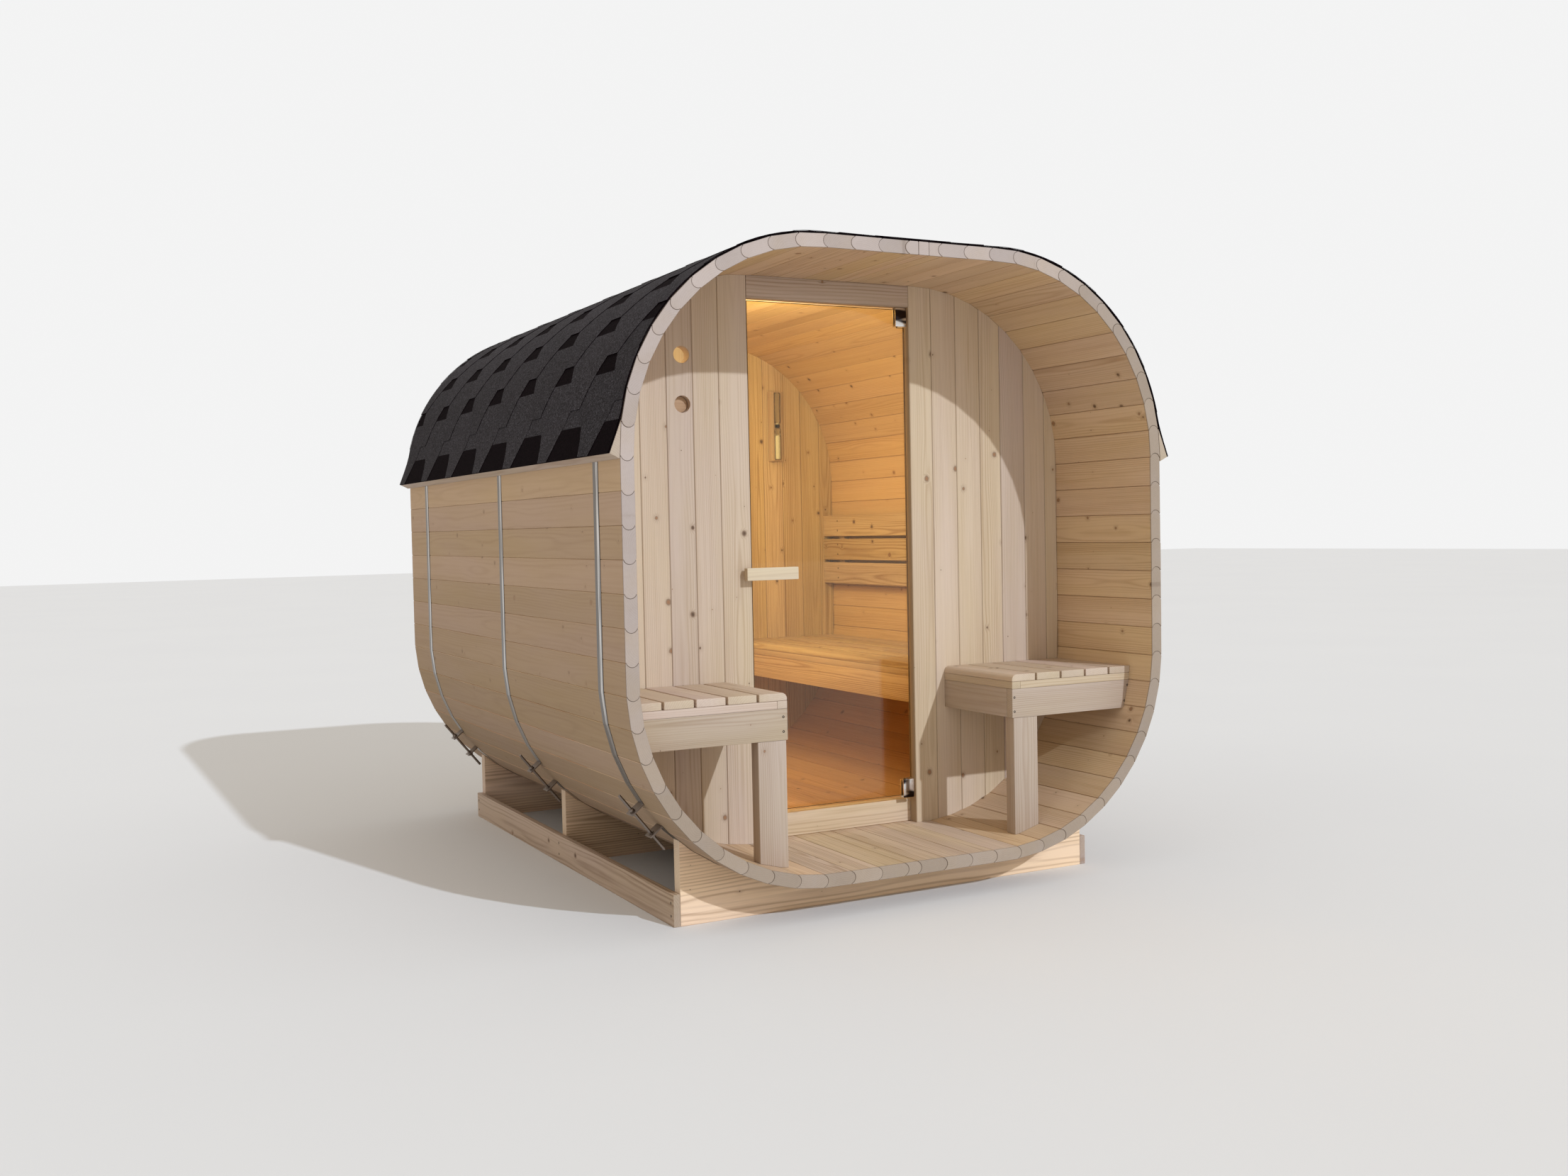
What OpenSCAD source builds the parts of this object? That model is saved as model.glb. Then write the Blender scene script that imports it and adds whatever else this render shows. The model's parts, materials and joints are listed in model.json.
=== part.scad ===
// Cube sauna: a rounded-square shell of staves on a low frame, with an open porch,
// a glass door, porch benches, an inner bench and a bitumen-covered roof.
// Millimetres. X to the right seen from the porch, porch end at -Y, Z up, ground at Z = 0.

/* [Shell] */
// Outside width of the stave shell
shell_w = 1790; // [1700:5:1900]
// Outside height of the stave shell
shell_h = 1790; // [1700:5:1900]
// Outside radius of the four long corners
corner_r = 596; // [560:2:620]
// Length of the shell from the porch ring to the rear ring
shell_len = 2200; // [2100:10:2400]
// Thickness of a stave
stave_t = 38; // [34:1:45]
// Width of a stave measured along the outside
stave_w = 88; // [87.5:0.1:88.5]
// Height of the underside of the shell above the ground
base_h = 90; // [70:1:120]

/* [Walls] */
// Depth of the open porch, ring to wall face
porch_d = 464; // [440:2:500]
// Thickness of the front and rear walls
wall_t = 38; // [34:1:42]
// How far the rear wall stands in from the rear ring
rear_in = 172; // [120:2:220]
// Diameter of the two vent holes
vent_d = 50; // [30:1:70]
// Drop of the upper vent hole below the top of the doorway
vent_drop = 178; // [150:2:220]
// Distance between the two vent holes
vent_step = 145; // [100:5:200]

/* [Door] */
// Left edge of the doorway from the middle
door_l = 297; // [280:1:310]
// Right edge of the doorway from the middle
door_r = 277; // [265:1:290]
// Height of the header over the doorway, up to the ceiling
header_h = 67; // [50:1:120]
// Thickness of the glass
glass_t = 8; // [6:1:10]
// Setback of the glass from the wall face
glass_in = 13; // [12:1:15]
// Length of the wooden handle block
handle_l = 174; // [140:2:200]
// Height of the wooden handle block
handle_h = 38; // [30:1:50]

/* [Benches] */
// Height of the bench seats above the ground
seat_z = 626; // [600:2:640]
// Width of a seat slat
slat_w = 87; // [80:1:90]
// Gap between seat slats
slat_gap = 7.5; // [6:0.5:10]
// Height of the aprons, legs and back slats
apron_h = 88; // [80:1:90]
// Inner end of the left porch bench from the middle
bench_l = 378; // [360:2:400]
// Inner end of the right porch bench from the middle
bench_r = 392; // [370:2:410]
// Setback of the porch benches from the ring
bench_in = 100; // [80:2:120]
// Depth of the inner bench, face to wall
inner_d = 494; // [460:2:520]

/* [Base and roof] */
// Setback of the base rails from the widest part of the shell
base_in = 185; // [160:5:210]
// Height of a base rail
rail_h = 90; // [80:1:90]
// Thickness of a base rail
rail_t = 20; // [18:1:28]
// Thickness of a cradle
cradle_t = 38; // [34:1:45]
// Thickness of the roof covering
roof_t = 5; // [4:0.5:6]
// How far the roof reaches past the rear ring
roof_over = 26; // [10:2:40]

/* [Hidden] */
$fn = 32;
fit = 0.4;
hx = shell_w / 2 - corner_r;
hz = shell_h / 2 - corner_r;
arc = corner_r * PI / 2;
top_z = base_h + shell_h;
mid_z = base_h + shell_h / 2;
half_len = shell_len / 2;
base_w = shell_w - 2 * base_in;
door_top = top_z - stave_t - header_h;
vent_hi_z = door_top - vent_drop;
vent_lo_z = vent_hi_z - vent_step;
half_run = 2 * (hx + arc + hz);
close_r = 96;
close_l = 14;
// Staves in the ring, beside the closing piece and the narrow piece in the floor.
stave_n = floor((2 * half_run - close_r - close_l - 20) / stave_w);
right_n = ceil(stave_n / 2);
ring_y = -half_len;
wall_y = ring_y + porch_d;
wall_back = wall_y + wall_t;
rear_y = half_len - rear_in - wall_t;
rear_back = rear_y + wall_t;

// Point on the outside at running distance a from the top middle, right positive.
function on_r(a) =
    a < hx ? [a, top_z]
    : a < hx + arc ? [hx + corner_r * sin((a - hx) / corner_r * 180 / PI),
        top_z - corner_r + corner_r * cos((a - hx) / corner_r * 180 / PI)]
    : a < hx + arc + 2 * hz ? [shell_w / 2, top_z - corner_r - (a - hx - arc)]
    : a < hx + 2 * arc + 2 * hz ?
        [hx + corner_r * cos((a - hx - arc - 2 * hz) / corner_r * 180 / PI),
        base_h + corner_r - corner_r * sin((a - hx - arc - 2 * hz) / corner_r * 180 / PI)]
    : [hx - (a - hx - 2 * arc - 2 * hz), base_h];
// Outward direction at the same point.
function nr_r(a) =
    a < hx ? [0, 1]
    : a < hx + arc ? [sin((a - hx) / corner_r * 180 / PI), cos((a - hx) / corner_r * 180 / PI)]
    : a < hx + arc + 2 * hz ? [1, 0]
    : a < hx + 2 * arc + 2 * hz ?
        [cos((a - hx - arc - 2 * hz) / corner_r * 180 / PI),
        -sin((a - hx - arc - 2 * hz) / corner_r * 180 / PI)]
    : [0, -1];
function flip(p) = [-p[0], p[1]];
function on(a) = a < 0 ? flip(on_r(-a)) : on_r(a);
function nr(a) = a < 0 ? flip(nr_r(-a)) : nr_r(a);
// Joint number j of the ring, counted clockwise from the right of the closing piece.
function joint(j) = j <= right_n ? close_r + j * stave_w
    : -(close_l + (stave_n + 1 - j) * stave_w);
joints = stave_n + 2;
// A joint point moved out by o.
function jp(j, o) = on(joint(j)) + o * nr(joint(j));
function ring_pts(o) = [for (j = [0:joints - 1]) jp(j, o)];
function unit(v) = v / norm(v);

// A shape in the X-Z plane swept from y0 to y1.
module sweep(y0, y1) {
    translate([0, y1, 0])
    rotate([90, 0, 0])
    linear_extrude(height = y1 - y0)
    children();
}
module box(x0, x1, y0, y1, z0, z1) {
    translate([x0, y0, z0])
    cube([x1 - x0, y1 - y0, z1 - z0]);
}
module rect(x0, x1, z0, z1) {
    translate([x0, z0])
    square([x1 - x0, z1 - z0]);
}
module inside_of(o) {
    polygon(ring_pts(-stave_t - o));
}

// One stave between joints a and b.
module stave(a, b) {
    u = unit(on(joint(b)) - on(joint(a))) * fit / 2;
    sweep(ring_y, half_len)
    polygon([jp(a, 0) + u, jp(b, 0) - u, jp(b, -stave_t) - u, jp(a, -stave_t) + u]);
}
// Running distance from the top middle to the middle of stave j, right positive.
function mid_of(j) = j == right_n ? half_run : (joint(j) + joint(j + 1)) / 2;
// Staves whose middle lies between distances a and b.
module staves(a, b) {
    for (j = [0:joints - 2])
        if (mid_of(j) >= a && mid_of(j) < b)
            stave(j, j + 1);
}
run_1 = hx;
run_2 = hx + arc;
run_3 = run_2 + 2 * hz;
run_4 = run_3 + arc;

stave_col = [0.72, 0.6, 0.45];
board_col = [0.8, 0.7, 0.55];
steel_col = [0.7, 0.7, 0.72];

module ceiling_staves() {
    color(stave_col)
    staves(-run_1, run_1);
}
module upper_right_staves() {
    color(stave_col)
    staves(run_1, run_2);
}
module right_wall_staves() {
    color(stave_col)
    staves(run_2, run_3);
}
module lower_right_staves() {
    color(stave_col)
    staves(run_3, run_4);
}
module floor_staves() {
    color(stave_col) {
        staves(run_4, half_run + 1);
        staves(-half_run, -run_4);
    }
}
module lower_left_staves() {
    color(stave_col)
    staves(-run_4, -run_3);
}
module left_wall_staves() {
    color(stave_col)
    staves(-run_3, -run_2);
}
module upper_left_staves() {
    color(stave_col)
    staves(-run_2, -run_1);
}
module closing_stave() {
    color(stave_col)
    stave(joints - 1, 0);
}

// Front wall, split beside and over the doorway.
vent_x = -door_l - 216;
module front_wall_left() {
    color(board_col)
    sweep(wall_y, wall_back)
    difference() {
        intersection() {
            inside_of(fit);
            rect(-shell_w, -door_l, 0, top_z);
        }
        translate([vent_x, vent_hi_z])
        circle(d = vent_d);
        translate([vent_x, vent_lo_z])
        circle(d = vent_d);
    }
}
module front_wall_right() {
    color(board_col)
    sweep(wall_y, wall_back)
    intersection() {
        inside_of(fit);
        rect(door_r, shell_w, 0, top_z);
    }
}
module door_header() {
    color(board_col)
    sweep(wall_y, wall_back)
    intersection() {
        inside_of(fit);
        rect(-door_l + fit, door_r - fit, door_top, top_z);
    }
}
sill_top = base_h + stave_t + 74;
sill_t = 38;
module door_sill() {
    color(board_col)
    sweep(wall_back + fit, wall_back + fit + sill_t)
    intersection() {
        inside_of(fit);
        rect(-door_l - sill_t, door_r + sill_t, 0, sill_top);
    }
}
module rear_wall() {
    color(board_col)
    sweep(rear_y, rear_back)
    inside_of(fit);
}

// Door leaf. It turns about the pin line near its right edge.
glass_y = wall_y + glass_in;
leaf_y = glass_y + glass_t / 2;
pin_x = door_r - 23;
glass_x0 = -door_l + 7;
glass_x1 = door_r - 8;
glass_z0 = sill_top + 17;
glass_z1 = door_top - 7;
hinge_h = 59;
hinge_lo = glass_z0 - 8;
hinge_hi = glass_z1 + 5 - hinge_h;
pin_d = 6;
knuckle_d = 14;
tab_h = 15;
notch_x = pin_x - 10;
stand_d = 14;
module hinge_notch(z) {
    box(notch_x, door_r, glass_y - 1, glass_y + glass_t + 1, z - 3, z + hinge_h + 3);
}
module stand_bores(d, y0, y1) {
    for (x = [handle_x0 + 70, handle_x0 + handle_l - 24])
        translate([x, y1, handle_z])
        rotate([90, 0, 0])
        cylinder(d = d, h = y1 - y0);
}
handle_x0 = -door_l - 31;
handle_z = mid_z - 39;
handle_t = 21;
handle_y0 = wall_y - handle_t - 11.5;
module door_glass() {
    color([0.6, 0.5, 0.35, 0.4])
    difference() {
        box(glass_x0, glass_x1, glass_y, glass_y + glass_t, glass_z0, glass_z1);
        hinge_notch(hinge_lo);
        hinge_notch(hinge_hi);
    }
}
module hinge_clamp(z) {
    difference() {
        union() {
            box(pin_x - 20, pin_x - 8, glass_y - 5.2, glass_y - 0.2, z, z + hinge_h);
            box(pin_x - 20, pin_x - 8, glass_y + glass_t + 0.2, glass_y + glass_t + 5.2, z, z + hinge_h);
            box(pin_x - 9.6, pin_x - 8, glass_y - 5.2, glass_y + glass_t + 5.2, z, z + hinge_h);
            for (zz = [z, z + hinge_h - tab_h]) {
                box(pin_x - 9.6, pin_x, glass_y, glass_y + glass_t, zz, zz + tab_h);
                translate([pin_x, leaf_y, zz])
                cylinder(d = knuckle_d, h = tab_h);
            }
        }
        translate([pin_x, leaf_y, z - 1])
        cylinder(d = pin_d + 0.16, h = hinge_h + 2);
    }
}
module door_hinge_clamps() {
    color(steel_col) {
        hinge_clamp(hinge_lo);
        hinge_clamp(hinge_hi);
    }
}
module hinge_bracket(z) {
    translate([pin_x, leaf_y, z])
    cylinder(d = pin_d, h = hinge_h);
    translate([pin_x, leaf_y, z + tab_h + 1])
    cylinder(d = knuckle_d, h = hinge_h - 2 * tab_h - 2);
    box(pin_x - 3, pin_x + 3, leaf_y, wall_back + fit + 2,
        z + tab_h + 1, z + hinge_h - tab_h - 1);
    box(pin_x - 3, door_r + 28, wall_back + fit, wall_back + fit + 4,
        z + tab_h + 1, z + hinge_h - tab_h - 1);
}
module door_hinge_brackets() {
    color(steel_col) {
        hinge_bracket(hinge_lo);
        hinge_bracket(hinge_hi);
    }
}
module door_handle() {
    color([0.75, 0.6, 0.42])
    box(handle_x0, handle_x0 + handle_l, handle_y0, handle_y0 + handle_t,
        handle_z - handle_h / 2, handle_z + handle_h / 2);
}
module handle_posts() {
    color(steel_col)
    stand_bores(stand_d, handle_y0 + handle_t + 0.2, glass_y - 0.2);
}
module inner_knobs() {
    color([0.75, 0.6, 0.42])
    stand_bores(34, glass_y + glass_t + 0.2, glass_y + glass_t + 25);
}

// Steel bands round the shell, open between the two lugs of each tensioner.
hoop_w = 40;
hoop_t = 0.8;
hoop_y = [ring_y + 181, -60, half_len - 250];
lug_gap = 44;
rod_r = corner_r + 30;
rod_l = 206;
// The tensioners sit just outboard of the base rails.
lug_a = acos((base_w / 2 + 77 - hx) / rod_r);
module at_lug() {
    translate([-hx, base_h + corner_r])
    rotate(180 + lug_a)
    children();
}
module hoop_bands() {
    color(steel_col)
    for (y = hoop_y)
        sweep(y - hoop_w / 2, y + hoop_w / 2)
        difference() {
            polygon(ring_pts(0.1 + hoop_t));
            polygon(ring_pts(0.1));
            at_lug()
            translate([corner_r - 30, -lug_gap])
            square([60, 2 * lug_gap]);
        }
}
module tensioner(y) {
    sweep(y - hoop_w / 2, y + hoop_w / 2)
    difference() {
        at_lug() {
            translate([corner_r - 12, lug_gap - 4])
            square([55, 4]);
            translate([corner_r - 12, -lug_gap])
            square([55, 4]);
        }
        polygon(ring_pts(0.2 + hoop_t));
    }
    translate([-hx, y, base_h + corner_r])
    rotate([0, -180 - lug_a, 0]) {
        translate([rod_r, 0, -rod_l / 2])
        cylinder(d = 8, h = rod_l, $fn = 16);
        for (z = [lug_gap, -lug_gap - 8])
            translate([rod_r, 0, z])
            cylinder(d = 15, h = 8, $fn = 6);
    }
}
module hoop_tensioners() {
    color(steel_col)
    for (y = hoop_y)
        tensioner(y);
}

// Wedge battens carrying the roof edge, and the roof covering.
wedge_z = top_z - corner_r + 78;
wedge_x = shell_w / 2 - 3;
tip_x = shell_w / 2 + 29;
tip_z = top_z - corner_r - 4;
// One wedge, on the right for s = 1 and on the left for s = -1.
module wedge_shape(s) {
    difference() {
        polygon([[s * (wedge_x - 11), wedge_z + 28.1], [s * tip_x, tip_z],
            [s * (wedge_x - 11), tip_z - 20.8]]);
        polygon(ring_pts(1.3));
    }
}
module eave_battens() {
    color(board_col)
    for (s = [-1, 1])
        sweep(ring_y, half_len + roof_over)
        wedge_shape(s);
}
roof_n = unit([wedge_z - tip_z, tip_x - wedge_x]);
function edge_pts(o) = [
    [wedge_x, wedge_z] + o * unit([1, 0.2]),
    [tip_x, tip_z] + o * roof_n];
// Joints under the roof, from the right wedge round to the left one.
roof_r = [for (j = [right_n:-1:0]) if (on(joint(j))[1] > wedge_z + 20) j];
roof_l = [for (j = [joints - 1:-1:right_n + 1]) if (on(joint(j))[1] > wedge_z + 20) j];
function roof_pts(o, e) = concat(
    [edge_pts(e)[1], edge_pts(e)[0]],
    [for (j = roof_r) jp(j, o)],
    [for (j = roof_l) jp(j, o)],
    [flip(edge_pts(e)[0]), flip(edge_pts(e)[1])]);
function back(l) = [for (i = [len(l) - 1:-1:0]) l[i]];
module roof_covering() {
    color([0.2, 0.2, 0.22])
    sweep(ring_y, half_len + roof_over)
    polygon(concat(roof_pts(1.2 + roof_t, 0.3 + roof_t), back(roof_pts(1.2, 0.3))));
}

// Low frame: two rails and three cradles cut to the round underside.
rail_in = 158;
rail_y0 = ring_y + rail_in;
rail_y1 = half_len - rail_in;
module base_rails() {
    color(stave_col)
    for (s = [0, 1])
        mirror([s, 0, 0])
        box(base_w / 2 - rail_t, base_w / 2, rail_y0, rail_y1, 0, rail_h);
}
module cradle(y, o) {
    sweep(y, y + cradle_t)
    difference() {
        rect(-base_w / 2 + rail_t + fit, base_w / 2 - rail_t - fit, 0, base_h + corner_r / 2);
        polygon(ring_pts(o));
    }
}
module cradles() {
    color(stave_col) {
        cradle(rail_y0, 1.1);
        cradle(-cradle_t / 2, 0.3);
        cradle(rail_y1 - cradle_t, 0.3);
    }
}

// Porch benches. Drawn on the left for k = 0 and turned over to the right for k = 1,
// then cut to the shell.
bench_y = ring_y + bench_in;
slat_t = 22;
lath_h = 22;
lath_w = 31;
apron_t = 28;
lath_z = seat_z - slat_t - lath_h;
apron_z = lath_z - apron_h;
pitch = slat_w + slat_gap;
wall_in = shell_w / 2 - stave_t;
leg_in = 5;
leg_t = 42;
module clip_in(y0, y1) {
    sweep(y0, y1)
    intersection() {
        inside_of(fit);
        children();
    }
}
// Section of an end slat with its outer top edge rounded over at x.
nose_r = 17;
module nose_slat(x) {
    rect(x - slat_w, x - nose_r, seat_z - slat_t, seat_z);
    intersection() {
        rect(x - nose_r - 1, x, seat_z - slat_t, seat_z);
        translate([x - nose_r, seat_z - nose_r])
        union() {
            circle(r = nose_r);
            rect(-nose_r, nose_r, -nose_r, 0);
        }
    }
}
module porch_slats(x, k) {
    clip_in(bench_y, wall_y - fit)
    mirror([k, 0, 0])
    nose_slat(-x);
    for (i = [1:ceil((wall_in - x - 20) / pitch) - 1])
        clip_in(bench_y, wall_y - fit)
        mirror([k, 0, 0])
        rect(-x - i * pitch - slat_w, -x - i * pitch, seat_z - slat_t, seat_z);
}
module porch_aprons(x, k) {
    clip_in(bench_y, bench_y + apron_t)
    mirror([k, 0, 0])
    rect(-shell_w / 2, -x, apron_z, lath_z - fit);
    clip_in(bench_y + apron_t + fit, wall_y - fit)
    mirror([k, 0, 0])
    rect(-x - apron_t, -x, apron_z, lath_z - fit);
}
module porch_leg(x, k) {
    clip_in(bench_y + 1, bench_y + 1 + leg_t)
    mirror([k, 0, 0])
    rect(-x - leg_in - apron_h, -x - leg_in, 0, apron_z - fit);
}
module porch_laths(x, k) {
    zz = seat_z - slat_t - fit;
    clip_in(bench_y, wall_y - fit)
    mirror([k, 0, 0])
    rect(-x - lath_w, -x, lath_z, zz);
    clip_in(bench_y, bench_y + lath_w)
    mirror([k, 0, 0])
    rect(-shell_w / 2, -x - lath_w - fit, lath_z, zz);
    clip_in(wall_y - lath_w - fit, wall_y - fit)
    mirror([k, 0, 0])
    rect(-shell_w / 2, -x - lath_w - fit, lath_z - 60, zz);
}
module left_bench_slats() {
    color(board_col)
    porch_slats(bench_l, 0);
}
module left_bench_aprons() {
    color(board_col)
    porch_aprons(bench_l, 0);
}
module left_bench_leg() {
    color(board_col)
    porch_leg(bench_l, 0);
}
module left_bench_laths() {
    color(board_col)
    porch_laths(bench_l, 0);
}
module right_bench_slats() {
    color(board_col)
    porch_slats(bench_r, 1);
}
module right_bench_aprons() {
    color(board_col)
    porch_aprons(bench_r, 1);
}
module right_bench_leg() {
    color(board_col)
    porch_leg(bench_r, 1);
}
module right_bench_laths() {
    color(board_col)
    porch_laths(bench_r, 1);
}

// Inner bench along the right wall, its seat boards lengthwise on cross bearers,
// and the back rest above it.
inner_x = wall_in - inner_d;
in_y0 = wall_back + fit;
in_y1 = rear_y - fit;
in_n = 5;
in_pitch = (inner_d - 12 - slat_w) / (in_n - 1);
ledge_x = inner_x + apron_t + fit;
module inner_bench_slats() {
    color(board_col) {
        clip_in(in_y0, in_y1)
        mirror([1, 0, 0])
        nose_slat(-inner_x);
        for (i = [1:in_n - 1])
        clip_in(in_y0, in_y1)
        rect(inner_x + i * in_pitch, inner_x + i * in_pitch + slat_w, seat_z - slat_t, seat_z);
    }
}
module inner_bench_apron() {
    color(board_col)
    box(inner_x, inner_x + apron_t, in_y0, in_y1, apron_z, lath_z - fit);
}
module inner_bench_laths() {
    color(board_col) {
        box(inner_x, inner_x + lath_w, in_y0, in_y1, lath_z, seat_z - slat_t - fit);
        box(ledge_x, ledge_x + 22, in_y0, in_y1, lath_z - 30, lath_z - fit);
        clip_in(in_y0, in_y1)
        rect(wall_in - 26 - lath_w, wall_in - 26, lath_z - 30, lath_z - fit);
        for (y = [in_y0 + 30, in_y0 + 500, in_y1 - 500, in_y1 - 30])
            clip_in(y - 22, y + 22)
            rect(inner_x + lath_w + fit, wall_in - 14, lath_z, seat_z - slat_t - fit);
    }
}
back_x = wall_in - 45;
back_t = 20;
back_z = seat_z + 222;
back_pitch = apron_h + 11;
module backrest_slats() {
    color(board_col)
    for (i = [0:2])
        box(back_x, back_x + back_t, in_y0 + 10, in_y1, back_z + i * back_pitch,
            back_z + i * back_pitch + apron_h);
}
module backrest_battens() {
    color(board_col)
    for (y = [in_y0 + 120, (in_y0 + in_y1) / 2, in_y1 - 120])
        box(back_x + back_t + fit, wall_in - fit, y - 22, y + 22, back_z + 6,
            back_z + 2 * back_pitch + apron_h - 6);
}

// Sand timer on the rear wall. Board and tube turn about the pin.
timer_x = wall_in - 274;
timer_z = door_top - 265;
timer_l = 290;
timer_w = 60;
board_t = 14;
timer_y1 = rear_y - 6;
timer_y0 = timer_y1 - board_t;
tube_y = timer_y0 - 14.4;
module timer_board() {
    color([0.8, 0.65, 0.45])
    difference() {
        union() {
            box(timer_x - timer_w / 2, timer_x + timer_w / 2, timer_y0, timer_y1,
                timer_z - timer_l / 2, timer_z + timer_l / 2);
            box(timer_x - timer_w / 2, timer_x - timer_w / 2 + 14, timer_y0 - 16, timer_y0 + 1,
                timer_z - timer_l / 2, timer_z + timer_l / 2);
        }
        translate([timer_x, timer_y1 + 1, timer_z])
        rotate([90, 0, 0])
        cylinder(d = 8.16, h = 10);
    }
}
module timer_tube() {
    color([0.9, 0.9, 0.9, 0.6])
    translate([timer_x, tube_y, timer_z - timer_l / 2 + 6])
    rotate_extrude()
    polygon([[0, 0], [12, 0], [14, 4], [14, 124], [4, 136], [4, 142], [14, 154],
        [14, 274], [12, 278], [0, 278]]);
}
module timer_pin() {
    color(steel_col)
    translate([timer_x, rear_y - fit, timer_z])
    rotate([90, 0, 0])
    cylinder(d = 8, h = 14);
}

ceiling_staves();
upper_right_staves();
right_wall_staves();
lower_right_staves();
floor_staves();
lower_left_staves();
left_wall_staves();
upper_left_staves();
closing_stave();
front_wall_left();
front_wall_right();
door_header();
door_sill();
rear_wall();
door_glass();
door_hinge_clamps();
door_hinge_brackets();
door_handle();
handle_posts();
inner_knobs();
hoop_bands();
hoop_tensioners();
eave_battens();
roof_covering();
base_rails();
cradles();
left_bench_slats();
left_bench_aprons();
left_bench_leg();
left_bench_laths();
right_bench_slats();
right_bench_aprons();
right_bench_leg();
right_bench_laths();
inner_bench_slats();
inner_bench_apron();
inner_bench_laths();
backrest_slats();
backrest_battens();
timer_board();
timer_tube();
timer_pin();
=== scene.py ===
import json
import math
import random

import bmesh
import bpy
from mathutils import Matrix, Vector
from mathutils.geometry import tessellate_polygon


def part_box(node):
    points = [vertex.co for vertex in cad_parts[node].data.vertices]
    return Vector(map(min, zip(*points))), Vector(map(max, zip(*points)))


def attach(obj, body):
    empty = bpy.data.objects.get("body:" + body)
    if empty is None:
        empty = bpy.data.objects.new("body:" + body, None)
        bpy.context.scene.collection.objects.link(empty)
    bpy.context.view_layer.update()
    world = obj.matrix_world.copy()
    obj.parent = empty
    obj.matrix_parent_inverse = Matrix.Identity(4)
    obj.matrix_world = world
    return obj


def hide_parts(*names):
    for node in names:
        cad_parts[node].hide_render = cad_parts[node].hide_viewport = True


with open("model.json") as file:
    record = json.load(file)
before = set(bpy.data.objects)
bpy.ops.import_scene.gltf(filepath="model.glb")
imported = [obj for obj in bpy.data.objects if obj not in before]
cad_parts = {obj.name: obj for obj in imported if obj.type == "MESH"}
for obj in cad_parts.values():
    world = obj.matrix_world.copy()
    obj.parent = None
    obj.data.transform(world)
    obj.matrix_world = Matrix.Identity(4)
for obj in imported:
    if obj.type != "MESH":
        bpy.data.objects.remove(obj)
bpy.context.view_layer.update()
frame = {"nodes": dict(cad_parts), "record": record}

scene = bpy.context.scene
rng = random.Random(11)
X, Y, Z = Vector((1, 0, 0)), Vector((0, 1, 0)), Vector((0, 0, 1))
# Middles of the three steel bands along Y, and just over half their width
BAND_Y, BAND_HALF = (-0.919, -0.060, 0.850), 0.021

# ------------------------------------------------------------------ camera
# Fitted to the photo: turn, downward tilt and roll in degrees, place in metres.
TURN, TILT, ROLL = 27.81, 2.26, -1.18
EYE = (-2.2805, -4.6017, 1.0773)
FOCAL_PX, PHOTO_W, SENSOR_MM = 2075.7, 2212, 36

yaw, pitch, roll = math.radians(TURN), math.radians(TILT), math.radians(ROLL)
fwd = Vector((math.sin(yaw) * math.cos(pitch), math.cos(yaw) * math.cos(pitch), -math.sin(pitch)))
right = Vector((math.cos(yaw), -math.sin(yaw), 0))
up = right.cross(fwd)
cam_x = right * math.cos(roll) + up * math.sin(roll)
cam_y = up * math.cos(roll) - right * math.sin(roll)
cam_data = bpy.data.cameras.new("cam")
cam_data.sensor_width = SENSOR_MM
cam_data.lens = FOCAL_PX / PHOTO_W * SENSOR_MM
cam = bpy.data.objects.new("cam", cam_data)
scene.collection.objects.link(cam)
rows = [(cam_x[i], cam_y[i], -fwd[i], EYE[i]) for i in range(3)]
cam.matrix_world = Matrix(rows + [(0, 0, 0, 1)])
scene.camera = cam


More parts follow.
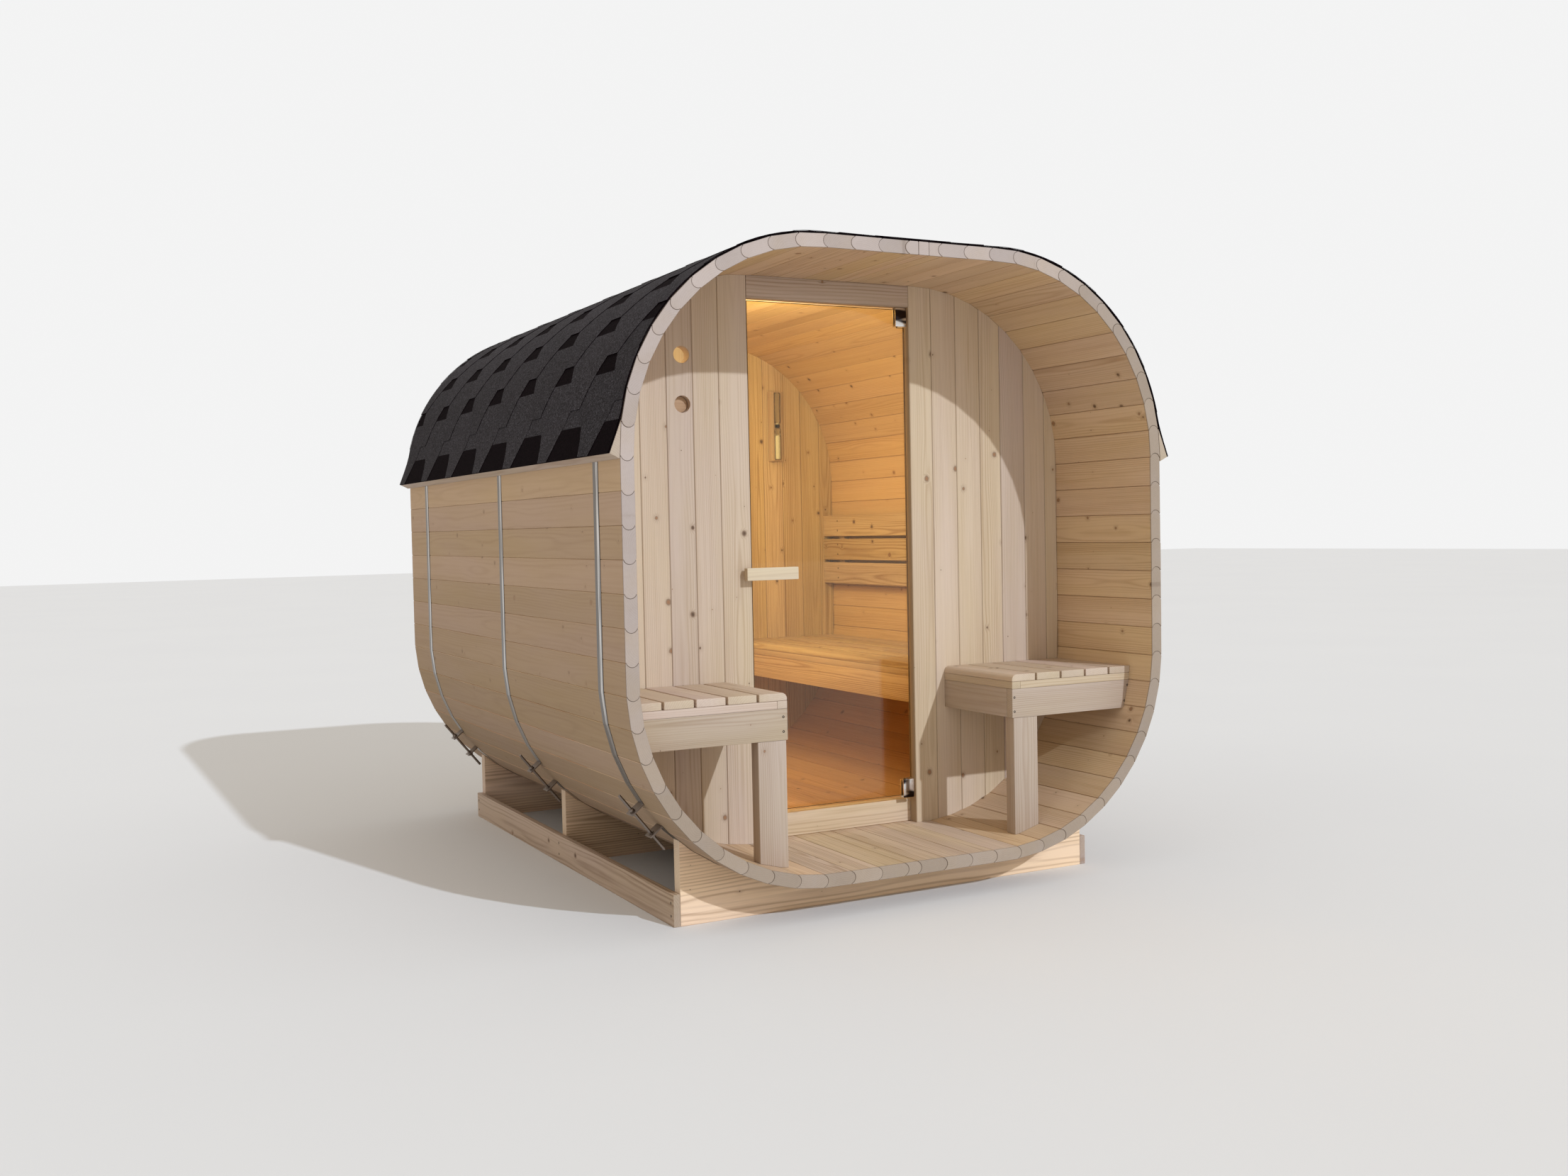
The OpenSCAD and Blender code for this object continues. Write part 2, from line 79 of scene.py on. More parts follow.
# ------------------------------------------------------------------ node helper
class Tree:
    """A new material, with short ways to make and join its nodes."""

    def __init__(self, name):
        self.mat = bpy.data.materials.new(name)
        self.mat.use_nodes = True
        self.t = self.mat.node_tree
        self.t.nodes.clear()
        self.out = self.t.nodes.new("ShaderNodeOutputMaterial")

    def node(self, kind, ins=None, **props):
        n = self.t.nodes.new("ShaderNode" + kind)
        for k, v in props.items():
            setattr(n, k, v)
        for k, v in (ins or {}).items():
            self.put(n.inputs[k], v)
        return n

    def put(self, sock, v):
        if hasattr(v, "is_output"):
            self.t.links.new(v, sock)
        elif isinstance(v, (tuple, list)) and len(v) == 3 and sock.type == "RGBA":
            sock.default_value = (*v, 1)
        else:
            sock.default_value = v

    def math(self, op, a, b=0.0, c=None, clamp=False):
        n = self.node("Math", {0: a, 1: b}, operation=op, use_clamp=clamp)
        if c is not None:
            self.put(n.inputs[2], c)
        return n.outputs[0]

    def add(self, a, b, clamp=False):
        return self.math("ADD", a, b, clamp=clamp)

    def sub(self, a, b):
        return self.math("SUBTRACT", a, b)

    def mul(self, a, b):
        return self.math("MULTIPLY", a, b)

    def mix(self, f, a, b, mode="MIX"):
        n = self.t.nodes.new("ShaderNodeMix")
        n.data_type = "RGBA"
        n.blend_type = mode
        self.put(n.inputs[0], f)
        self.put(n.inputs[6], a)
        self.put(n.inputs[7], b)
        return n.outputs[2]

    def tinted(self, col, by):
        return self.mix(1.0, col, by, "MULTIPLY")

    def shaded(self, col, k):
        return self.tinted(col, self.vec(k, k, k))

    def vec(self, x, y, z):
        return self.node("CombineXYZ", {0: x, 1: y, 2: z}).outputs[0]

    def xyz(self, v):
        return self.node("SeparateXYZ", {0: v}).outputs

    def rgb(self, v):
        return self.node("SeparateColor", {0: v}).outputs

    def attribute(self, name):
        return self.xyz(self.node("Attribute", attribute_name=name).outputs["Vector"])

    def place(self):
        return self.node("TexCoord").outputs["Object"]

    def noise(self, v, scale=1.0, detail=2.0, rough=0.5):
        n = self.node("TexNoise", {"Vector": v, "Scale": scale, "Detail": detail, "Roughness": rough})
        return n.outputs[0]

    def remap(self, v, a, b, lo=0.0, hi=1.0, smooth=False):
        n = self.node("MapRange", {0: v, 1: a, 2: b, 3: lo, 4: hi})
        if smooth:
            n.interpolation_type = "SMOOTHSTEP"
        return n.outputs[0]

    def bump(self, h, strength, distance):
        return self.node("Bump", {"Height": h, "Strength": strength, "Distance": distance}).outputs[0]

    def shader(self, color, rough, normal=None, **more):
        ins = {"Base Color": color, "Roughness": rough}
        if normal is not None:
            ins["Normal"] = normal
        ins.update(more)
        n = self.node("BsdfPrincipled", ins)
        self.t.links.new(n.outputs[0], self.out.inputs[0])
        return self.mat


# ------------------------------------------------------------------ materials
# Colour from which all knots are made darker or lighter
KNOT = (0.17, 0.08, 0.035)


def wood(name, light, dark, ring=0.0055, contrast=1.0, knots=1.0, rough=0.6, seam=(0.12, 0.07, 0.04),
         height=None, warmed=(1.0, 0.955, 0.82), cabin=None):
    """Planed spruce. Reads grain in metres, x along, y across and z through the board, and tone,
    x brightness, y warmth and z the strength of painted shade in a seam.
    ring is the distance between growth rings, warmed the tint of the warmest boards.
    height gives (low, high, shade at low): painted shade, the wood darkens from high down to low.
    cabin is the tint of painted shade, warm with lamp light, that the low wood behind the front wall takes."""
    t = Tree(name)
    x, y, z = t.attribute("grain")
    bright, warmth, seam_shade = t.attribute("tone")

    def scaled(along, across):
        return t.vec(t.mul(x, along), t.mul(y, across), t.mul(z, across))

    # Knots: a field of cells, each with a ragged spot of its own size or none.
    cell = t.node("TexVoronoi", {"Vector": scaled(7.4, 8.6), "Scale": 1.0}, voronoi_dimensions="2D")
    chance = t.rgb(cell.outputs["Color"])
    ragged = t.sub(t.noise(scaled(110, 150), detail=2, rough=0.6), 0.5)
    dist = t.add(t.mul(cell.outputs["Distance"], 1 / 8.0), t.mul(ragged, 0.0045))
    size = t.math("POWER", t.math("MAXIMUM", t.sub(chance[0], 0.12), 0.0), 2.6)
    size = t.mul(size, 0.0118)
    live = t.math("GREATER_THAN", size, 0.0008)
    reach = t.math("DIVIDE", dist, t.math("MAXIMUM", size, 0.0012))
    spot = t.mul(t.remap(reach, 1.25, 0.7), live)
    core = t.mul(spot, t.remap(reach, 0.95, 0.45))
    rim = t.sub(spot, core)
    halo = t.mul(t.remap(dist, 0.019, 0.002, smooth=True), t.remap(size, 0.0008, 0.006))

    # Growth rings round the log's axis, bent by slow noise and round the knots.
    warp = t.mul(t.sub(t.noise(scaled(1.3, 7), detail=2), 0.5), 0.034)
    rad = t.math("SQRT", t.add(t.mul(y, y), t.mul(z, z)))
    rad = t.add(t.add(rad, warp), t.mul(halo, t.mul(size, 1.6)))
    wave = t.math("SINE", t.mul(rad, 2 * math.pi / ring))
    line = t.math("POWER", t.math("MULTIPLY_ADD", wave, 0.5, 0.5), 2.4)
    fade = t.remap(t.noise(scaled(0.9, 16), detail=1), 0.35, 0.65, 0.35, 1.0)
    line = t.mul(line, fade)
    streak = t.noise(scaled(2.2, 120), detail=3, rough=0.6)
    fibre = t.noise(scaled(14, 800), detail=2)
    broad = t.noise(scaled(0.8, 11), detail=1)
    amount = t.mul(line, 0.62 * contrast)
    amount = t.add(amount, t.mul(t.sub(streak, 0.5), contrast))
    amount = t.add(amount, t.mul(t.sub(fibre, 0.5), 0.35 * contrast))
    amount = t.add(amount, t.mul(t.sub(broad, 0.38), 0.9 * contrast), clamp=True)
    col = t.mix(amount, light, dark)

    # Each board has its own warmth, which drifts along it, and its own brightness.
    drift = t.mul(t.sub(t.noise(scaled(1.7, 9), detail=2), 0.5), 1.5)
    col = t.tinted(col, t.mix(t.add(warmth, drift, clamp=True), (1.02, 0.98, 1.02), warmed))
    col = t.shaded(col, bright)
    # Painted shade low down, where little light comes up from the ground
    if height:
        low, high, low_shade = height
        col = t.shaded(col, t.remap(t.xyz(t.place())[2], low, high, low_shade, 1.0))
    # Painted shade, warm with the lamp's light, on the low wood inside behind the front wall
    if cabin:
        at = t.xyz(t.place())
        cabin_shade_mask = t.mul(t.remap(at[1], -0.602, -0.598), t.remap(at[2], 0.62, 0.42))
        col = t.mix(cabin_shade_mask, col, t.tinted(col, cabin))
    ringed = tuple(0.6 * a + 0.4 * b for a, b in zip(dark, KNOT))
    dead, sound, rim_col = (tuple(k * v for v in KNOT) for k in (0.45, 1.9, 0.8))
    heart = t.mix(t.math("GREATER_THAN", chance[1], 0.45), dead, sound)
    col = t.mix(t.mul(halo, 0.5 * knots), col, ringed)
    col = t.mix(t.mul(core, 0.85 * knots), col, heart)
    col = t.mix(t.mul(rim, 0.85 * knots), col, rim_col)
    # Painted shade in the seams, where the gaps between boards are dark
    col = t.mix(t.mul(seam_shade, 0.9), col, seam)
    h = t.add(t.add(t.mul(line, -0.5), t.mul(fibre, 0.6)), t.mul(spot, 0.5))
    return t.shader(col, t.math("MULTIPLY_ADD", streak, 0.2, rough - 0.1), t.bump(h, 0.35, 0.0005),
                    **{"Specular IOR Level": 0.3})


def metal(name, color, rough, scratch=0.06, stretch=(3, 900, 900)):
    """Metal with fine scratches, drawn out along the axis with the smallest stretch."""
    t = Tree(name)
    at = t.place()
    fine = t.noise(t.node("Mapping", {"Vector": at, "Scale": stretch}).outputs[0], detail=3)
    big = t.noise(at, scale=9, detail=2)
    dull = tuple(v * 0.82 for v in color)
    return t.shader(t.mix(big, color, dull), t.math("MULTIPLY_ADD", fine, scratch * 2, rough - scratch),
                    t.bump(fine, 0.08, 0.0002), Metallic=1.0)


def felt(name, color, fleck, speck, gloss=0.12):
    """Bitumen felt with light flecks and dark specks of mineral granules."""
    t = Tree(name)
    at = t.place()
    bright = t.attribute("tone")[0]
    grit = t.node("TexVoronoi", {"Vector": at, "Scale": 330.0})
    chance = t.rgb(grit.outputs["Color"])
    mid = t.noise(at, scale=210, detail=2, rough=0.7)
    big = t.noise(at, scale=7, detail=3)
    col = t.mix(t.remap(chance[0], 0.3, 1.0), color, fleck)
    col = t.mix(t.remap(chance[1], 0.75, 0.95, 0, 0.7), col, speck)
    col = t.mix(t.remap(mid, 0.36, 0.64, 0, 0.62), col, tuple(v * 0.45 for v in color))
    col = t.mix(t.remap(big, 0.3, 0.7, 0, 0.28), col, tuple(v * 1.5 for v in color))
    col = t.shaded(col, bright)
    h = t.add(t.mul(grit.outputs["Distance"], -1.0), t.mul(mid, 0.8))
    return t.shader(col, t.remap(mid, 0.3, 0.7, 0.82, 0.95), t.bump(h, 0.22, 0.0006),
                    **{"Specular IOR Level": gloss})


def painted_reflection_metal(name):
    """The hinge covers, with a painted reflection: broken bright and dark patches of a room painted into
    their colour.
    """
    t = Tree(name)
    # Painted reflection: soft patches of near black and bright grey in the base colour
    m = t.node("Mapping", {"Vector": t.place(), "Scale": (9, 9, 34), "Rotation": (0.0, 0.25, 0.0)})
    room = t.noise(m.outputs[0], scale=1.0, detail=1, rough=0.4)
    col = t.mix(t.remap(room, 0.46, 0.54, smooth=True), (0.035, 0.026, 0.026), (0.78, 0.76, 0.74))
    return t.shader(col, 0.14, t.bump(room, 0.1, 0.0005), Metallic=1.0)


def band_painted_light(name):
    """Steel bands with painted light: a painted highlight runs bright off the middle, painted shade
    dulls both edges and the low parts, and long soft streaks of painted reflection run round the shell."""
    t = Tree(name)
    at = t.xyz(t.place())
    near = None
    for y in BAND_Y:
        off = t.add(at[1], -y)
        off = t.mul(off, t.math("LESS_THAN", t.math("ABSOLUTE", off), BAND_HALF))
        near = off if near is None else t.add(near, off)
    # Painted reflection: long streaks of dark and bright in the colour, which also vary the roughness and
    # bump
    streaks = t.noise(t.vec(t.mul(at[0], 7), t.mul(at[1], 160), t.mul(at[2], 7)), detail=2)
    col = t.mix(t.remap(streaks, 0.36, 0.62), (0.22, 0.20, 0.19), (0.80, 0.78, 0.76))
    # Painted shade on the rear half of each band and on its front edge, and low down where the bands face
    # the ground
    col = t.mix(t.remap(near, -0.004, 0.004, smooth=True), col, (0.17, 0.155, 0.145))
    col = t.mix(t.remap(near, -0.0135, -0.0175, smooth=True), col, (0.10, 0.09, 0.085))
    col = t.mix(t.remap(at[2], 0.75, 0.35, smooth=True), col, (0.15, 0.13, 0.115))
    return t.shader(col, t.remap(streaks, 0.3, 0.7, 0.32, 0.2), t.bump(streaks, 0.15, 0.0006), Metallic=1.0)


def mottled(name, scale, detail, light, dark, rough, relief=None, **more):
    """Two close colours in soft patches, with relief as (strength, distance)."""
    t = Tree(name)
    patches = t.noise(t.place(), scale=scale, detail=detail)
    normal = t.bump(patches, *relief) if relief else None
    return t.shader(t.mix(patches, light, dark), rough, normal, **more)


def glass(name, tint):
    """Thin glass: see-through with a tint, and a reflection that grows at flat angles."""
    t = Tree(name)
    n = t.noise(t.place(), scale=3.5, detail=2)
    see = t.node("BsdfTransparent", {"Color": t.mix(n, tint, tuple(v * 0.985 for v in tint))})
    gloss = t.node("BsdfGlossy", {"Color": (1, 1, 1), "Roughness": 0.02})
    share = t.mul(t.node("Fresnel", {"IOR": 1.5}).outputs[0], 0.9)
    both = t.node("MixShader", {0: share, 1: see.outputs[0], 2: gloss.outputs[0]})
    t.t.links.new(both.outputs[0], t.out.inputs[0])
    return t.mat


board = wood("board_wood", (0.60, 0.50, 0.402), (0.44, 0.33, 0.236), contrast=0.88,
             seam=(0.17, 0.105, 0.06))
inner_wood = wood("inner_wood", (0.61, 0.51, 0.395), (0.36, 0.25, 0.16), contrast=1.15,
                  seam=(0.15, 0.085, 0.045))
board_end = wood("board_end", (0.57, 0.48, 0.38), (0.43, 0.33, 0.24), knots=0.3, contrast=0.6, rough=0.75)
strong = wood("board_strong", (0.62, 0.51, 0.39), (0.38, 0.27, 0.175), contrast=0.95, ring=0.0085)
stave = wood("stave_wood", (0.65, 0.49, 0.32), (0.46, 0.305, 0.175), contrast=0.95,
             seam=(0.15, 0.07, 0.032), cabin=(0.92, 0.77, 0.66))
# The outer staves get painted shade low down
stave_outer = wood("stave_outer", (0.545, 0.39, 0.255), (0.43, 0.29, 0.18), contrast=0.55, knots=0.4,
                   rough=0.7, height=(0.3, 1.35, 0.62))
stave_end = wood("stave_end", (0.465, 0.405, 0.350), (0.37, 0.312, 0.258), contrast=0.5, knots=0.25,
                 rough=0.8, seam=(0.15, 0.12, 0.10), warmed=(1.0, 0.905, 0.80))
floor_wood = wood("floor_wood", (0.60, 0.49, 0.37), (0.38, 0.275, 0.18), contrast=1.15,
                  seam=(0.15, 0.07, 0.032), cabin=(0.98, 0.77, 0.575))
base_wood = wood("base_wood", (0.63, 0.49, 0.38), (0.36, 0.25, 0.175), contrast=1.25, ring=0.008)
base_end = wood("base_end", (0.52, 0.42, 0.34), (0.38, 0.28, 0.21), contrast=0.6, knots=0.3, rough=0.75)
handle_wood = wood("handle_wood", (0.69, 0.60, 0.48), (0.44, 0.33, 0.23), contrast=0.8, knots=0.0,
                   ring=0.0045, rough=0.45)
stopper_wood = wood("stopper_wood", (0.50, 0.335, 0.20), (0.33, 0.20, 0.11), contrast=0.9, knots=0.0,
                    ring=0.004, rough=0.7)
steel = metal("steel", (0.27, 0.225, 0.195), 0.33)
chrome = metal("chrome", (0.83, 0.83, 0.84), 0.09, 0.02, (4, 4, 60))
screw_steel = metal("screw_steel", (0.045, 0.04, 0.037), 0.6)
cover_painted_reflection = painted_reflection_metal("cover_with_painted_reflection")
band_painted_sheen = band_painted_light("band_painted_sheen")
felt_grey = felt("roof_felt", (0.024, 0.020, 0.022), (0.105, 0.098, 0.112), (0.006, 0.005, 0.006))
felt_dark = felt("roof_felt_dark", (0.0038, 0.0016, 0.0024), (0.012, 0.0050, 0.0075),
                 (0.001, 0.0006, 0.0008), gloss=0.03)
pane = glass("door_glass_pane", (0.94, 0.845, 0.655))
tube_glass = glass("timer_glass", (0.95, 0.965, 0.95))
pane_edge = mottled("door_glass_edge", 40, 2, (0.12, 0.075, 0.035), (0.20, 0.13, 0.06), 0.15,
                    **{"Specular IOR Level": 0.6})
sand = mottled("timer_sand", 1400, 1, (0.86, 0.84, 0.80), (0.72, 0.69, 0.64), 0.9, (0.4, 0.0003))
floor_paint = mottled("floor_paint", 0.6, 3, (0.80, 0.80, 0.79), (0.77, 0.77, 0.765), 0.9)


# ------------------------------------------------------------------ mesh helpers
PLAIN = (1.0, 0, 0)


def as_is(p):
    """Grain of a piece that has none."""
    return tuple(p)


def clamp(v, lo=0, hi=1):
    return min(max(v, lo), hi)


def loop_faces(n, loops, start=0):
    """Quads between closed loops of n vertices that follow one another from start."""
    out = []
    for k in range(loops - 1):
        a, b = start + k * n, start + (k + 1) * n
        for i in range(n):
            j = (i + 1) % n
            out.append((a + i, a + j, b + j, b + i))
    return out


def soften(bm, angle):
    """Smooth shading that leaves edges sharper than angle hard."""
    for f in bm.faces:
        f.smooth = True
    for e in bm.edges:
        e.smooth = not (len(e.link_faces) == 2 and e.calc_face_angle(0) > angle)


class Piece:
    """Gathers polygons with their grain and tone, and makes one object of them."""

    def __init__(self, name, mats):
        self.name, self.mats = name, mats
        self.v, self.f, self.m, self.g, self.t = [], [], [], [], []

    def add(self, verts, faces, grain, tones, mats=None):
        """tones is one tone for all of the vertices, or a list with one for each."""
        k = len(self.v)
        self.v += [tuple(p) for p in verts]
        self.f += [tuple(i + k for i in face) for face in faces]
        self.m += list(mats) if mats else [0] * len(faces)
        self.g += [grain(Vector(p)) for p in verts]
        self.t += tones if isinstance(tones, list) else [tones] * len(verts)

    def done(self, body, replaces, smooth=None):
        me = bpy.data.meshes.new(self.name)
        me.from_pydata(self.v, [], self.f)
        for n, data in (("grain", self.g), ("tone", self.t)):
            a = me.attributes.new(n, "FLOAT_VECTOR", "POINT")
            a.data.foreach_set("vector", [c for p in data for c in p])
        for m in self.mats:
            me.materials.append(m)
        me.polygons.foreach_set("material_index", self.m)
        me.update()
        ob = bpy.data.objects.new(self.name, me)
        scene.collection.objects.link(ob)
        bm = bmesh.new()
        bm.from_mesh(me)
        bmesh.ops.recalc_face_normals(bm, faces=bm.faces)
        if smooth:
            soften(bm, smooth)
        bm.to_mesh(me)
        bm.free()
        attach(ob, body)
        if replaces:
            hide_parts(*replaces)
        return ob


def grain_of(mid, along, across, thick):
    """A random board of a log, its middle at mid: returns the function from place to grain."""
    ox, sy = rng.uniform(0, 60), rng.choice((-1, 1))
    oy = sy * (rng.uniform(0, 0.03) if rng.random() < 0.65 else rng.uniform(0.05, 0.09))
    oz = rng.uniform(0.025, 0.075)

    def grain(p):
        d = p - mid
        return (d.dot(along) + ox, d.dot(across) + oy, d.dot(thick) + oz)
    return grain


def tone(spread=0.05, shade=1.0):
    """A random board's brightness and warmth, with no seam."""
    return ((1 + rng.uniform(-spread, spread)) * shade, rng.random(), 0.0)


# ------------------------------------------------------------------ stave ring
# The shell's section: width and height, corner radius, thickness of the staves, height of the frame
SHELL_W, CORNER_R, THICK, BASE = 1.790, 0.596, 0.038, 0.090
FLAT = SHELL_W / 2 - CORNER_R
ARC = CORNER_R * math.pi / 2
TOP = BASE + SHELL_W
HALF_LEN = 1.1
HALF_RUN = 2 * (FLAT + ARC + FLAT)
# Joints are counted from the closing piece down the right side to the bottom one, then up the left.
STAVE_W, JOINTS, BOTTOM = 0.088, 70, 34
CLOSING_RIGHT, CLOSING_LEFT = 0.096, 0.014
# Round tongue of a joint: half its height, radius, points of its line with its two ends left out
TONGUE_HALF, TONGUE_R, TONGUE_POINTS = 0.0172, 0.0182, 9
# Easing of the staves' edges, half the gap between two staves
EASE, STAVE_GAP = 0.0019, 0.0002
# The sawn ends: their rim's width and depth, and how far in the end's colour goes
RIM, RIM_IN, END_IN = 0.0010, 0.0013, 0.004
# Painted shade in the stave joints and on the rims of the sawn ends
JOINT_SHADE, RIM_SHADE = 0.55, 0.6


def on_ring(a):
    """Place and outward direction at running distance a from the top middle."""
    s, a = (1 if a >= 0 else -1), abs(a)
    if a < FLAT:
        p, n = (a, TOP), (0, 1)
    elif a < FLAT + ARC:
        q = (a - FLAT) / CORNER_R
        p = (FLAT + CORNER_R * math.sin(q), TOP - CORNER_R + CORNER_R * math.cos(q))
        n = (math.sin(q), math.cos(q))
    elif a < FLAT + ARC + 2 * FLAT:
        p, n = (SHELL_W / 2, TOP - CORNER_R - (a - FLAT - ARC)), (1, 0)
    elif a < FLAT + 2 * ARC + 2 * FLAT:
        q = (a - FLAT - ARC - 2 * FLAT) / CORNER_R
        p = (FLAT + CORNER_R * math.cos(q), BASE + CORNER_R - CORNER_R * math.sin(q))
        n = (math.cos(q), -math.sin(q))
    else:
        p, n = (FLAT - (a - FLAT - 2 * ARC - 2 * FLAT), BASE), (0, -1)
    return Vector((s * p[0], p[1])), Vector((s * n[0], n[1]))


def joint_run(j):
    if j <= BOTTOM:
        return CLOSING_RIGHT + STAVE_W * j
    return -(CLOSING_LEFT + STAVE_W * (JOINTS - 1 - j))


def mid_run(j):
    return HALF_RUN if j == BOTTOM else (joint_run(j) + joint_run(j + 1)) / 2


ring = [on_ring(joint_run(j)) for j in range(JOINTS)]


def joint_arc(j, gap):
    """The round tongue line of a joint, from outside to inside, without its two ends."""
    p, n = ring[j]
    t = Vector((n[1], -n[0]))
    c = p - n * THICK / 2 + t * math.sqrt(TONGUE_R * TONGUE_R - TONGUE_HALF * TONGUE_HALF)
    lim = math.asin(TONGUE_HALF / TONGUE_R)
    out = []
    for i in range(1, TONGUE_POINTS + 1):
        q = lim - 2 * lim * i / (TONGUE_POINTS + 1)
        out.append(c - t * (TONGUE_R + gap) * math.cos(q) + n * (TONGUE_R + gap) * math.sin(q) * 0.995)
    return out


def stave_profile(a, b):
    """Section of the stave between joints a and b, clockwise from its outer face."""
    (pa, na), (pb, nb) = ring[a], ring[b]
    u = (pb - pa).normalized()
    c, g = EASE, STAVE_GAP
    ia, ib = pa - na * THICK, pb - nb * THICK
    return ([pa + u * c, pb - u * c, pb - u * g - nb * c] + joint_arc(b, g)
            + [ib - u * g + nb * c, ib - u * c, ia + u * c, ia + u * g + na * c] + joint_arc(a, -g)[::-1]
            + [pa + u * g - na * c])


def inset(prof, d):
    """The outline moved in by d, for a short straight-ish outline."""
    n = len(prof)
    area = sum(prof[i][0] * prof[(i + 1) % n][1] - prof[(i + 1) % n][0] * prof[i][1] for i in range(n))
    sg = 1 if area > 0 else -1
    out = []
    for i in range(n):
        a, b, c = prof[i - 1], prof[i], prof[(i + 1) % n]
        n1 = Vector((-(b - a)[1], (b - a)[0])).normalized() * sg
        n2 = Vector((-(c - b)[1], (c - b)[0])).normalized() * sg
        m = n1 + n2
        m = m / max(m.dot(m) / 2, 0.6)
        out.append(b + m * d)
    return out


def sweep(piece, prof, right_arc, y0, y1, grain, tn, end_tn):
    """A stave from its section, with painted shade in its two joints and on the rims of its ends.
    right_arc is the number of points in the joint on its right; the points of its two broad faces
    stay light. Material 1 goes on the ends and their rims, 2 on the outer face and 0 on the rest."""
    n = len(prof)
    broad = (0, 1, right_arc + 4, right_arc + 5)
    cap = inset(prof, RIM)
    joint = [0.0 if i in broad else JOINT_SHADE for i in range(n)]
    even, rim = [0.0] * n, [RIM_SHADE] * n
    loops = ((cap, y0, even, end_tn), (prof, y0 + RIM_IN, rim, end_tn), (prof, y0 + END_IN, joint, tn),
             (prof, y1 - END_IN, joint, tn), (prof, y1 - RIM_IN, rim, end_tn), (cap, y1, even, end_tn))
    v, tones = [], []
    for pts, y, dark, base in loops:
        v += [(p[0], y, p[1]) for p in pts]
        tones += [(base[0], base[1], d) for d in dark]
    f = [tuple(range(n)), tuple(range(5 * n, 6 * n))] + loop_faces(n, 6)
    m = [1, 1]
    for k in range(5):
        m += [1 if k in (0, 4) else (2 if i == 0 else 0) for i in range(n)]
    piece.add(v, f, grain, tones, m)


def add_stave(piece, prof, right_arc):
    """One stave, with a random board's grain and tone and ends that don't quite line up."""
    mid = sum(prof, Vector((0, 0))) / len(prof)
    u = (prof[1] - prof[0]).normalized()
    grain = grain_of(Vector((mid[0], 0, mid[1])), Y, Vector((u[0], 0, u[1])), Vector((-u[1], 0, u[0])))
    y0 = -HALF_LEN + rng.uniform(0, 0.0014)
    y1 = HALF_LEN - rng.uniform(0, 0.0014)
    # The sawn ends are greyer and darker low down and to the right.
    low = clamp((1.05 - mid[1]) / 0.7)
    far = clamp((mid[0] - 0.35) / 0.5)
    k = (1 - 0.22 * low) * (1 - 0.22 * far * (1 - 0.8 * low)) * rng.uniform(0.93, 1.07)
    tn = tone(0.06)
    sweep(piece, prof, right_arc, y0, y1, grain, tn, (tn[0] * k, 0.08 + 0.92 * max(far, low)))


# Each node's stretch of the ring; the floor takes what is left.
GROUPS = [("ceiling_staves", -FLAT, FLAT),
          ("upper_right_staves", FLAT, FLAT + ARC),
          ("right_wall_staves", FLAT + ARC, 3 * FLAT + ARC),
          ("lower_right_staves", 3 * FLAT + ARC, 3 * FLAT + 2 * ARC),
          ("lower_left_staves", -3 * FLAT - 2 * ARC, -3 * FLAT - ARC),
          ("left_wall_staves", -3 * FLAT - ARC, -FLAT - ARC),
          ("upper_left_staves", -FLAT - ARC, -FLAT),
          ("floor_staves", -math.inf, math.inf)]
left_over = list(range(JOINTS - 1))
for name, a, b in GROUPS:
    inside = floor_wood if name == "floor_staves" else stave
    p = Piece(name.replace("staves", "stave_boards"), [inside, stave_end, stave_outer])
    mine = [j for j in left_over if a <= mid_run(j) < b]
    left_over = [j for j in left_over if j not in mine]
    for j in mine:
        add_stave(p, stave_profile(j, j + 1), TONGUE_POINTS)
    p.done("cabin", (name,), smooth=0.5)

# The closing piece, made of a left part, a key and a right part.
KEY_LEFT, KEY_RIGHT, KEY_GAP = 0.017, 0.052, 0.0004


def closing_part(x0, x1, left_arc=(), right_arc=()):
    """Section of a part between x0 and x1, with straight sides or with a joint's round line."""
    c, g, zo, zi = EASE, KEY_GAP, TOP, TOP - THICK

    def points(*places):
        return [Vector(q) for q in places]
    return (points((x0 + c, zo), (x1 - c, zo), (x1 - g, zo - c)) + list(right_arc)
            + points((x1 - g, zi + c), (x1 - c, zi), (x0 + c, zi), (x0 + g, zi + c)) + list(left_arc)[::-1]
            + points((x0 + g, zo - c)))


p = Piece("closing_key_boards", [stave, stave_end, stave_outer])
arc_l, arc_r = joint_arc(JOINTS - 1, -KEY_GAP), joint_arc(0, KEY_GAP)
add_stave(p, closing_part(ring[JOINTS - 1][0][0], KEY_LEFT, left_arc=arc_l), 0)
add_stave(p, closing_part(KEY_LEFT, KEY_RIGHT), 0)
add_stave(p, closing_part(KEY_RIGHT, ring[0][0][0], right_arc=arc_r), len(arc_r))
p.done("cabin", ("closing_stave",), smooth=0.5)

# ------------------------------------------------------------------ walls of upright boards
WALL_GAP, BOARD_W = 0.0004, 0.088
WALL_IN = SHELL_W / 2 - THICK - WALL_GAP
# Half the gap of a V joint, and how far its slopes go in from each edge
V_GAP, V_CUT = 0.0001, 0.0024
HOLE_R, HOLE_EASE, HOLE_N = 0.025, 0.0008, 40
inner_ring = [p - n * (THICK + WALL_GAP) for p, n in ring]


def span_at(x):
    """Lowest and highest point of the inside of the ring at x."""
    zs = []
    for (x0, z0), (x1, z1) in zip(inner_ring, inner_ring[1:] + inner_ring[:1]):
        if abs(x1 - x0) > 1e-7 and min(x0, x1) - 1e-9 <= x <= max(x0, x1) + 1e-9:
            zs.append(z0 + (z1 - z0) * (x - x0) / (x1 - x0))
    return min(zs), max(zs)


def hole_loop(cx, cz, r, y):
    """A circle of vertices across the wall at y."""
    turns = [2 * math.pi * i / HOLE_N for i in range(HOLE_N)]
    return [(cx + r * math.cos(q), y, cz + r * math.sin(q)) for q in turns]


